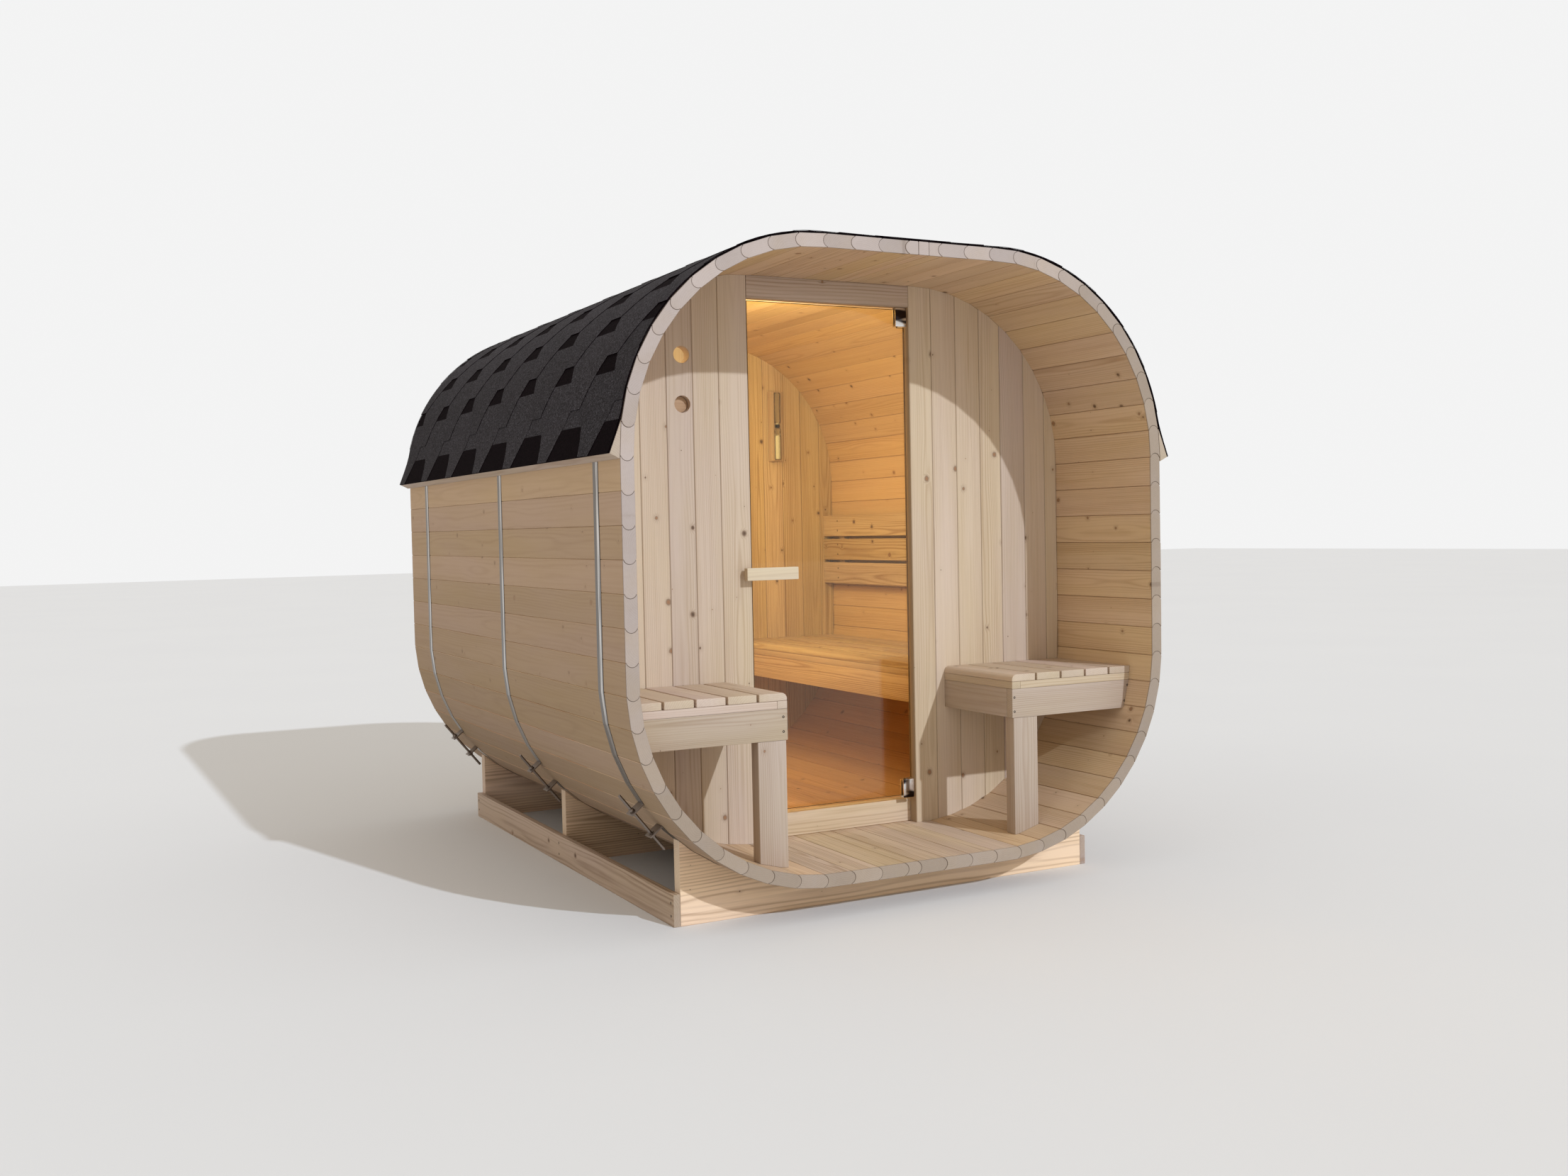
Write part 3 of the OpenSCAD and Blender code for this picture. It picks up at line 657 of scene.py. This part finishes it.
def wall_board(piece, xa, xb, y0, y1, holes, shade):
    """One upright board between xa and xb with V joints, its ends cut to the ring."""
    xs = {round(xa, 5), round(xb, 5)}
    xs |= {round(q[0], 5) for q in inner_ring if xa + 0.004 < q[0] < xb - 0.004}
    xs = sorted(xs)
    spans = [span_at(clamp(x, -WALL_IN + 1e-5, WALL_IN - 1e-5)) for x in xs]
    outline = [(x, s[1]) for x, s in zip(xs, spans)] + [(x, s[0]) for x, s in zip(xs, spans)][::-1]
    n = len(outline)

    def loop(k, y):
        return [(clamp(x, xa + k, xb - k), y, z) for x, z in outline]
    v = loop(V_CUT, y0) + loop(V_GAP, y0 + V_CUT * 0.8) + loop(V_GAP, y1 - V_CUT * 0.8) + loop(V_CUT, y1)
    f = loop_faces(n, 4)
    starts = []
    for cx, cz in holes:
        starts.append(len(v))
        f += loop_faces(HOLE_N, 4, len(v))
        wide = HOLE_R + HOLE_EASE
        for r, y in ((wide, y0), (HOLE_R, y0 + HOLE_EASE), (HOLE_R, y1 - HOLE_EASE), (wide, y1)):
            v += hole_loop(cx, cz, r, y)
    for k in (0, 3):
        loops = [range(k * n, k * n + n)] + [range(s + k * HOLE_N, s + (k + 1) * HOLE_N) for s in starts]
        ids = [i for one in loops for i in one]
        if holes:
            polys = [[Vector((v[i][0], v[i][2], 0)) for i in one] for one in loops]
            f += [tuple(ids[i] for i in tri) for tri in tessellate_polygon(polys)]
        else:
            f.append(tuple(ids))
    grain = grain_of(Vector(((xa + xb) / 2, (y0 + y1) / 2, 0.9)), Z, X, Y)
    tn = tone(0.08, shade)
    # Painted shade in the V joints
    seam = (tn[0], tn[1], JOINT_SHADE)
    tones = [tn] * n + [seam] * (2 * n) + [tn] * (len(v) - 3 * n)
    piece.add(v, f, grain, tones)


def node_span(name):
    """Low and high corner of a CAD node's box."""
    lo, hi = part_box(name)
    return Vector(lo), Vector(hi)


def wall(node, joints, mat, open_at=(), shade=1.0):
    """A wall of boards that meet at the joints along X, with round holes through it."""
    lo, hi = node_span(node)
    p = Piece(node + "_boards", [mat])
    xs = [lo.x] + [x for x in joints if lo.x + 0.02 < x < hi.x - 0.02] + [hi.x]
    for xa, xb in zip(xs, xs[1:]):
        holes = [(q[0], q[2]) for q in open_at if xa < q[0] < xb]
        wall_board(p, xa, xb, lo.y, hi.y, holes, shade)
    p.done("cabin", (node,))


vents = [m["pos_m"] for m in frame["record"]["mounts"] if m["name"].startswith("vent")]
wall("front_wall_left", (-0.822, -0.736, -0.650, -0.564, -0.479, -0.394), board, vents)
wall("front_wall_right", (0.361, 0.454, 0.547, 0.628, 0.724, 0.808), board)
# The rear wall is lightened a little as painted light from the cabin lamp
wall("rear_wall", [0.445 + BOARD_W * i for i in range(-20, 10)], inner_wood, shade=1.06)


# ------------------------------------------------------------------ solids of the frame, worked
def islands(bm):
    """The vertices of each separate solid of a mesh."""
    seen, out = set(), []
    for v in bm.verts:
        if v in seen:
            continue
        group, todo = [], [v]
        seen.add(v)
        while todo:
            a = todo.pop()
            group.append(a)
            for e in a.link_edges:
                b = e.other_vert(a)
                if b not in seen:
                    seen.add(b)
                    todo.append(b)
        out.append(group)
    return out


def worked(name, node, mats, body="cabin", bevel=0.0016, seg=2, along=None, smooth=0.6, shade=1.0):
    """A copy of a CAD node with its edges eased and grain laid along each board.
    A second material goes on the boards' sawn ends."""
    bm = bmesh.new()
    bm.from_mesh(frame["nodes"][node].data)
    bmesh.ops.remove_doubles(bm, verts=bm.verts, dist=1e-6)
    bmesh.ops.dissolve_limit(bm, angle_limit=0.02, verts=bm.verts, edges=bm.edges)
    es = [e for e in bm.edges if len(e.link_faces) == 2 and e.calc_face_angle(0) > 0.6]
    bmesh.ops.bevel(bm, geom=es, offset=bevel, segments=seg, profile=0.6, affect="EDGES", clamp_overlap=True)
    gl = bm.verts.layers.float_vector.new("grain")
    tl = bm.verts.layers.float_vector.new("tone")
    for group in islands(bm):
        lo = Vector([min(v.co[i] for v in group) for i in range(3)])
        hi = Vector([max(v.co[i] for v in group) for i in range(3)])
        size = hi - lo
        order = sorted(range(3), key=lambda i: -size[i])
        if along is not None:
            order = [along] + [i for i in order if i != along]
        ax = [(X, Y, Z)[k] for k in order]
        grain, tn = grain_of((lo + hi) / 2, *ax), tone(shade=shade)
        for v in group:
            v[gl] = grain(v.co)
            v[tl] = tn
        for f in {f for v in group for f in v.link_faces}:
            f.material_index = 1 if len(mats) > 1 and abs(f.normal.dot(ax[0])) > 0.8 else 0
    if smooth:
        soften(bm, smooth)
    me = bpy.data.meshes.new(name)
    bm.to_mesh(me)
    bm.free()
    for m in mats:
        me.materials.append(m)
    ob = bpy.data.objects.new(name, me)
    scene.collection.objects.link(ob)
    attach(ob, body)
    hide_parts(node)
    return ob


beam, base = [strong, board_end], [base_wood, base_end]
plain, warm = [board, board_end], [inner_wood, board_end]
# Shade factors: the cradles and inner bench apron are lightened as painted light, the base rails and eave
# battens darkened as painted shade; the others set the wood's own tone
worked("door_header_board", "door_header", beam, shade=0.95)
worked("door_sill_board", "door_sill", beam, bevel=0.003, shade=1.17)
worked("base_rail_boards", "base_rails", base, shade=0.84)
worked("cradle_boards", "cradles", base, along=0, bevel=0.0012, shade=1.36)
worked("eave_batten_boards", "eave_battens", plain, bevel=0.0008, seg=1, shade=0.8)
for side in ("left", "right"):
    worked(side + "_bench_seat", side + "_bench_slats", plain, bevel=0.0025, seg=3)
    worked(side + "_bench_lath_boards", side + "_bench_laths", plain, shade=0.97)
    worked(side + "_bench_apron_boards", side + "_bench_aprons", plain, shade=0.81)
    worked(side + "_bench_leg_board", side + "_bench_leg", plain, shade=0.78)
worked("inner_bench_seat", "inner_bench_slats", warm, bevel=0.002, seg=3)
worked("inner_bench_apron_board", "inner_bench_apron", warm, shade=1.22)
worked("inner_bench_lath_boards", "inner_bench_laths", plain)
worked("backrest_boards", "backrest_slats", warm, bevel=0.003, seg=3)
worked("backrest_batten_boards", "backrest_battens", plain)
worked("timer_back_board", "timer_board", plain, body="timer", bevel=0.001)
worked("handle_bar", "door_handle", [handle_wood, board_end], body="door", bevel=0.002, seg=3)
worked("handle_stems", "handle_posts", [chrome], body="door", bevel=0.0006)
worked("knob_turnings", "inner_knobs", [handle_wood], body="door", bevel=0.003, seg=3)
worked("hinge_clamp_plates", "door_hinge_clamps", [chrome], body="door", bevel=0.0007)
worked("hinge_bracket_plates", "door_hinge_brackets", [chrome], bevel=0.0006)
worked("tensioner_lugs", "hoop_tensioners", [steel], bevel=0.0005, seg=1)
worked("timer_pivot", "timer_pin", [screw_steel], bevel=0.0005)
# The steel bands take the material with painted highlights, reflections and shade
for s in frame["nodes"]["hoop_bands"].material_slots:
    s.material = band_painted_sheen


# ------------------------------------------------------------------ fittings
def lathe(piece, prof, origin, axis, n=24):
    """Turns (radius, height) points about an axis through origin."""
    axis = axis.normalized()
    e1 = axis.orthogonal().normalized()
    e2 = axis.cross(e1)
    v = []
    for r, h in prof:
        for i in range(n):
            q = 2 * math.pi * i / n
            v.append(origin + axis * h + (e1 * math.cos(q) + e2 * math.sin(q)) * r)
    f = loop_faces(n, len(prof)) + [tuple(range(n)), tuple(range((len(prof) - 1) * n, len(prof) * n))]
    piece.add(v, f, as_is, PLAIN)


# Flat cover plates on the outer side of the two door hinges, over the pins.
COVER_X, COVER_Y, COVER = 0.2335, -0.6298, (0.0390, 0.0015, 0.059)
cl, ch = node_span("door_hinge_clamps")
# The cover plates carry a painted reflection in their colour
p = Piece("hinge_cover_plates", [cover_painted_reflection])
for z_lo in (cl.z, ch.z - COVER[2]):
    lo = (COVER_X, COVER_Y, z_lo)
    bm = bmesh.new()
    bmesh.ops.create_cube(bm, size=1.0)
    for v in bm.verts:
        v.co = Vector([lo[i] + COVER[i] * (v.co[i] + 0.5) for i in range(3)])
    bmesh.ops.bevel(bm, geom=list(bm.edges), offset=0.0005, segments=2, profile=0.6, affect="EDGES")
    bm.verts.index_update()
    p.add([v.co for v in bm.verts], [tuple(v.index for v in f.verts) for f in bm.faces], as_is, PLAIN)
    bm.free()
p.done("door", (), smooth=0.6)

# Threads on the tensioners' rods, which stand ROD_R from the centre of the lower left corner.
# LUG_IN and LUG_OUT are the two faces of a lug along the rod, WASHER a washer's thickness.
ROD_R, ROD_HALF, ROD_PITCH = 0.626, 0.1028, 0.001
LUG_IN, LUG_OUT, WASHER = 0.0402, 0.0442, 0.0016
lug = math.radians(180 + 38.776)
rod_mid = Vector((-FLAT + ROD_R * math.cos(lug), 0, BASE + CORNER_R + ROD_R * math.sin(lug)))
rod_dir = Vector((-math.sin(lug), 0, math.cos(lug)))
p = Piece("tensioner_threads", [steel])
for y in BAND_Y:
    prof, h = [], -ROD_HALF
    while h < ROD_HALF:
        prof += [(0.0041, h), (0.00445, h + ROD_PITCH / 2)]
        h += ROD_PITCH
    lathe(p, prof, rod_mid + Vector((0, y, 0)), rod_dir, n=12)
p.done("cabin", (), smooth=1.2)

# Washers against the lugs and the end nuts
p = Piece("tensioner_washers", [steel])
for y in BAND_Y:
    for sgn in (1, -1):
        for h in (LUG_IN - 0.0018, LUG_OUT):
            at = rod_mid + Vector((0, y, 0)) + rod_dir * (sgn * h)
            lathe(p, [(0.0046, 0), (0.0085, 0), (0.0085, WASHER), (0.0046, WASHER)], at, rod_dir * sgn, n=20)
p.done("cabin", (), smooth=0.6)

# Screws: in the porch aprons' fronts, the rails' outer sides and the back rest
SCREW_R, SLAT_PITCH = 0.0037, 0.099
FRONT, LEFT, RIGHT = Vector((0, -1, 0)), Vector((-1, 0, 0)), Vector((1, 0, 0))
fy = node_span("left_bench_aprons")[0].y
rl, rh = node_span("base_rails")
bl = node_span("backrest_slats")[0]
spots = [((x, fy, z), FRONT) for x, z in (
    (-0.391, 0.559), (-0.391, 0.518), (0.400, 0.556), (0.400, 0.513),
    (0.840, 0.565), (0.828, 0.516), (-0.838, 0.565), (-0.826, 0.516))]
for y in (-0.923, 0.0, 0.923):
    for z in (0.028, 0.064):
        spots += [((rl.x, y, z), LEFT), ((rh.x, y, z), RIGHT)]
for y in (-0.4776, 0.146, 0.7696):
    for i in range(3):
        for dz in (0.024, 0.064):
            spots.append(((bl.x, y, bl.z + SLAT_PITCH * i + dz), LEFT))
head = [(SCREW_R * r, h) for r, h in (
    (1, -0.001), (1, 0.0), (0.93, 0.0003), (0.5, 0.0004), (0.42, -0.0006), (0.05, -0.0009))]
p = Piece("joinery_screws", [screw_steel])
for at, out in spots:
    lathe(p, head, Vector(at), out, n=18)
p.done("cabin", (), smooth=0.6)

# A turned wooden stopper on the inside of the lower vent
low_vent = min(vents, key=lambda q: q[2])
inner_face = node_span("front_wall_left")[1].y
p = Piece("vent_stopper", [stopper_wood])
lathe(p, [(0.001, -0.0095), (0.0225, -0.0095), (0.0242, -0.008), (0.0243, 0.012),
          (0.030, 0.0125), (0.030, 0.024), (0.028, 0.026), (0.001, 0.026)],
      Vector((low_vent[0], inner_face - 0.0105, low_vent[2])), Y, n=40)
p.done("cabin", (), smooth=0.5)

# ------------------------------------------------------------------ roof
# Heights above the shell's line; tip and top of the wedge batten; EAVE is the run to the tip.
# The felt leaves the shell BEND before the batten.
ROOF_LO, ROOF_HI = 0.0012, 0.0062
TIP, WEDGE_TOP = Vector((0.9242, 1.2800)), Vector((0.892 + 0.0003, 1.362))
WEDGE_RUN = FLAT + CORNER_R * math.acos((1.362 - (TOP - CORNER_R)) / CORNER_R)
BEND = 0.03
EAVE = WEDGE_RUN + (TIP - WEDGE_TOP).length
# Shingles: width of a tab, exposed length of a row, fall over that length, thickness of the felt,
# dark band under the next row, and the first tab's place in even and odd rows
TAB, EXPO, LAYER, SKIN, DARK = 1 / 3, 0.1435, 0.0015, 0.0013, 0.054
PHASE = (-0.745, -0.9115)
ROOF_Y0, ROOF_Y1 = -1.1, 1.126
ROWS, CAPS, CAP_HALF, CAP_LAP = 8, 16, 0.125, 0.03


def roof_at(a, off):
    """Place on the roof at signed run a from the top middle, off above the shell's line."""
    s, d = (1 if a >= 0 else -1), abs(a)
    if d <= WEDGE_RUN - BEND:
        p, n = on_ring(d)
        q = p + n * off
    else:
        # A soft bend from the round shell out on to the batten
        p, n = on_ring(WEDGE_RUN - BEND)
        u = (TIP - WEDGE_TOP).normalized()
        out = Vector((-u[1], u[0]))
        k = (d - (WEDGE_RUN - BEND)) / (EAVE - WEDGE_RUN + BEND)
        start = p + n * off
        turn = WEDGE_TOP + out * (off - ROOF_LO) * 0.9
        end = TIP + out * (off - ROOF_LO)
        q = start * (1 - k) ** 2 + turn * 2 * k * (1 - k) + end * k * k
    return Vector((s * q[0], 0, q[1]))


def tabs(phase, shift, slack):
    """Middles along Y of the tabs that reach on to the roof by more than slack."""
    mids = [phase + TAB * (i + shift) for i in range(-3, 9)]
    return [y for y in mids if y - TAB / 2 <= ROOF_Y1 - slack and y + TAB / 2 >= ROOF_Y0 + slack]


def patch(piece, runs, half, ymid, side, offs, mats, tn):
    """A strip of felt: at each run its half width and height. Cut to the roof's ends."""
    v, f, m = [], [], []
    cols, n = 3, len(runs)
    under = n * cols
    for lay in (0, 1):
        for i, a in enumerate(runs):
            for c in range(cols):
                q = roof_at(side * a, offs[i] - lay * SKIN)
                v.append((q.x, clamp(ymid + half[i] * (c - 1), ROOF_Y0, ROOF_Y1), q.z))
    for i in range(n - 1):
        for c in range(cols - 1):
            a = i * cols + c
            b = a + under
            f += [(a, a + 1, a + cols + 1, a + cols), (b, b + cols, b + cols + 1, b + 1)]
            m += [mats[i]] * 2
    for i in range(n - 1):
        for c in (0, cols - 1):
            a = i * cols + c
            f.append((a, a + cols, a + cols + under, a + under))
    for i in (0, n - 1):
        for c in range(cols - 1):
            a = i * cols + c
            f.append((a, a + 1, a + 1 + under, a + under))
    m += [1] * (len(f) - len(m))
    piece.add(v, f, as_is, tn, m)


def sheet(piece, runs, y_offs, thick, tn, edge=0):
    """A thin sheet over the roof. y_offs holds its two ends as (place along Y, height of the top).
    Its edges take material edge."""
    v, f = [], []
    n = len(runs)
    for drop in (0, thick):
        for y, off in y_offs:
            for a in runs:
                q = roof_at(a, off - drop)
                v.append((q.x, y, q.z))
    for i in range(n - 1):
        a, b, c, d = i, n + i, 2 * n + i, 3 * n + i
        f += [(a, a + 1, b + 1, b), (c, d, d + 1, c + 1), (a, a + 1, c + 1, c), (b, b + 1, d + 1, d)]
    f += [(0, n, 3 * n, 2 * n), (n - 1, 2 * n - 1, 4 * n - 1, 3 * n - 1)]
    piece.add(v, f, as_is, tn, [0, 0, edge, edge] * (n - 1) + [edge, edge])


def shingle_row(piece, side, k):
    """Row k of tabs from the eave up. Wide cut-outs between the tabs narrow upwards."""
    start = EAVE - k * EXPO
    shown = [0, 0.25, 0.5, 0.75, 1.0]
    hidden = [1.02, 1.35, 2.0 - DARK / EXPO, 2.0 - DARK / EXPO / 2, 2.12]
    runs = [start - EXPO * s for s in shown] + [max(start - EXPO * s, 0.0) for s in hidden]
    half = [0.039 + 0.090 * s for s in shown] + [TAB / 2] * len(hidden)
    offs = [ROOF_HI - LAYER * s for s in shown + hidden]
    for ymid in tabs(PHASE[k % 2], 0.5, 0.002):
        patch(piece, runs, half, ymid, side, offs, [0] * 7 + [1] * 2, (1 + rng.uniform(-0.10, 0.10), 0, 0))


for side, nm in ((-1, "left"), (1, "right")):
    p = Piece("shingles_" + nm, [felt_grey, felt_dark])
    # Starter strip, dark at the eave
    runs = [EAVE - d for d in (0, 0.04, 0.079, 0.11, 0.16, 0.2)]
    offs = [ROOF_HI - LAYER - 0.0001] * 3 + [ROOF_HI - LAYER * 1.3] * 3
    for ymid in tabs(PHASE[0], 0.25, 0):
        patch(p, runs, [TAB / 2] * 6, ymid, side, offs, [1, 1, 0, 0, 0], PLAIN)
    for k in range(ROWS):
        shingle_row(p, side, k)
    p.done("cabin", ())

# Ridge caps, laid from the back, and the felt under the shingles
p = Piece("ridge_caps", [felt_grey, felt_dark])
cap_runs = [-CAP_HALF, -CAP_HALF / 2, 0, CAP_HALF / 2, CAP_HALF]
for i in range(CAPS):
    ya = ROOF_Y1 - (ROOF_Y1 - ROOF_Y0) * i / CAPS
    yb = max(ya - (ROOF_Y1 - ROOF_Y0) / CAPS - CAP_LAP, ROOF_Y0)
    ends = ((ya, ROOF_HI - 0.0004 - 0.0002), (yb, ROOF_HI - 0.0002))
    sheet(p, cap_runs, ends, SKIN, (1 + rng.uniform(-0.1, 0.1), 0, 0), edge=1)
p.done("cabin", ())

UNDERLAY_HI = 0.0027
p = Piece("roof_underlay", [felt_dark])
runs = [-EAVE + 2 * EAVE * i / 140 for i in range(141)]
sheet(p, runs, ((ROOF_Y0, UNDERLAY_HI), (ROOF_Y1, UNDERLAY_HI)), UNDERLAY_HI - ROOF_LO, PLAIN)
p.done("cabin", ("roof_covering",), smooth=0.6)

# ------------------------------------------------------------------ sand timer and door glass
TUBE_H = 0.278
HALF_TUBE = [(0.0115, 0), (0.0137, 0.003), (0.014, 0.006), (0.014, 0.118),
             (0.0125, 0.126), (0.008, 0.132), (0.0042, 0.1355), (0.0036, 0.139)]
tube_lo, tube_hi = node_span("timer_tube")
mid = (tube_lo + tube_hi) / 2
foot = Vector((mid.x, mid.y, tube_lo.z))
p = Piece("timer_tube_glass", [tube_glass])
lathe(p, HALF_TUBE + [(r, TUBE_H - h) for r, h in HALF_TUBE[::-1]], foot, Z, n=32)
p.done("timer", ("timer_tube",), smooth=0.7)
p = Piece("timer_sand_fill", [sand])
lathe(p, [(0.001, 0.0015), (0.0112, 0.0015), (0.0124, 0.006), (0.0124, 0.098), (0.009, 0.101),
          (0.001, 0.106)], foot, Z, n=28)
lathe(p, [(0.0016, 0.1415), (0.0036, 0.1430), (0.0085, 0.1480), (0.0100, 0.1515), (0.001, 0.1500)],
      foot, Z, n=28)
p.done("timer", (), smooth=0.7)
p = Piece("timer_clasp", [screw_steel])
lathe(p, [(0.0046, 0.1335), (0.0085, 0.1335), (0.0095, 0.1350), (0.0095, 0.1430), (0.0085, 0.1445),
          (0.0046, 0.1445)], foot, Z, n=28)
lathe(p, [(0.003, 0.0), (0.003, 0.0095)], Vector((foot.x, foot.y + 0.005, foot.z + TUBE_H / 2)), Y, n=14)
p.done("timer", (), smooth=0.7)
leaf = worked("glass_leaf", "door_glass", [pane, pane_edge], body="door", bevel=0.0007,
              seg=1, smooth=None)
for f in leaf.data.polygons:
    f.material_index = 0 if abs(f.normal.y) > 0.9 else 1

# ------------------------------------------------------------------ floor, light
FLOOR = 40
me = bpy.data.meshes.new("floor")
me.from_pydata([(-FLOOR, -FLOOR, 0), (FLOOR, -FLOOR, 0), (FLOOR, FLOOR, 0), (-FLOOR, FLOOR, 0)],
               [], [(0, 1, 2, 3)])
me.materials.append(floor_paint)
floor = bpy.data.objects.new("floor", me)
scene.collection.objects.link(floor)

sun = bpy.data.lights.new("key", "SUN")
sun.energy = 1.84
sun.color = (0.86, 0.96, 1.10)
sun.angle = math.radians(0.9)
key = bpy.data.objects.new("key", sun)
scene.collection.objects.link(key)
key.rotation_mode = "QUATERNION"
key.rotation_quaternion = Vector((0.278, -1, 0.638)).to_track_quat("Z", "Y")


def cabin_light(name, shape, size, power, col, at, turn=0):
    """A soft light in the room, turned about X, that isn't seen straight on or in a reflection."""
    data = bpy.data.lights.new(name, "AREA")
    data.shape = shape
    data.size, data.size_y = size
    data.energy = power
    data.color = col
    ob = bpy.data.objects.new(name, data)
    ob.location = at
    ob.rotation_euler = (math.radians(turn), 0, 0)
    ob.visible_camera = False
    ob.visible_glossy = False
    scene.collection.objects.link(ob)


cabin_light("cabin_lamp", "SQUARE", (0.5, 0.5), 7, (1.0, 0.93, 0.64), (-0.25, 0.45, 1.72))
# Out of sight behind the front wall, towards the rear wall
cabin_light("cabin_glow", "RECTANGLE", (0.7, 0.3), 17.3, (1.0, 0.985, 0.70), (-0.30, -0.555, 1.50), turn=90)

# The world lights the scene warmly, and is plain white to the camera.
world = bpy.data.worlds.new("studio")
scene.world = world
world.use_nodes = True
wt = world.node_tree
light, backdrop = wt.nodes["Background"], wt.nodes.new("ShaderNodeBackground")
light.inputs[0].default_value = (1.0, 0.945, 0.88, 1)
light.inputs[1].default_value = 0.70
backdrop.inputs[0].default_value = (1, 1, 1, 1)
backdrop.inputs[1].default_value = 0.9
path = wt.nodes.new("ShaderNodeLightPath")
both = wt.nodes.new("ShaderNodeMixShader")
wt.links.new(path.outputs["Is Camera Ray"], both.inputs[0])
wt.links.new(light.outputs[0], both.inputs[1])
wt.links.new(backdrop.outputs[0], both.inputs[2])
wt.links.new(both.outputs[0], wt.nodes["World Output"].inputs[0])
scene.view_settings.view_transform = "Standard"
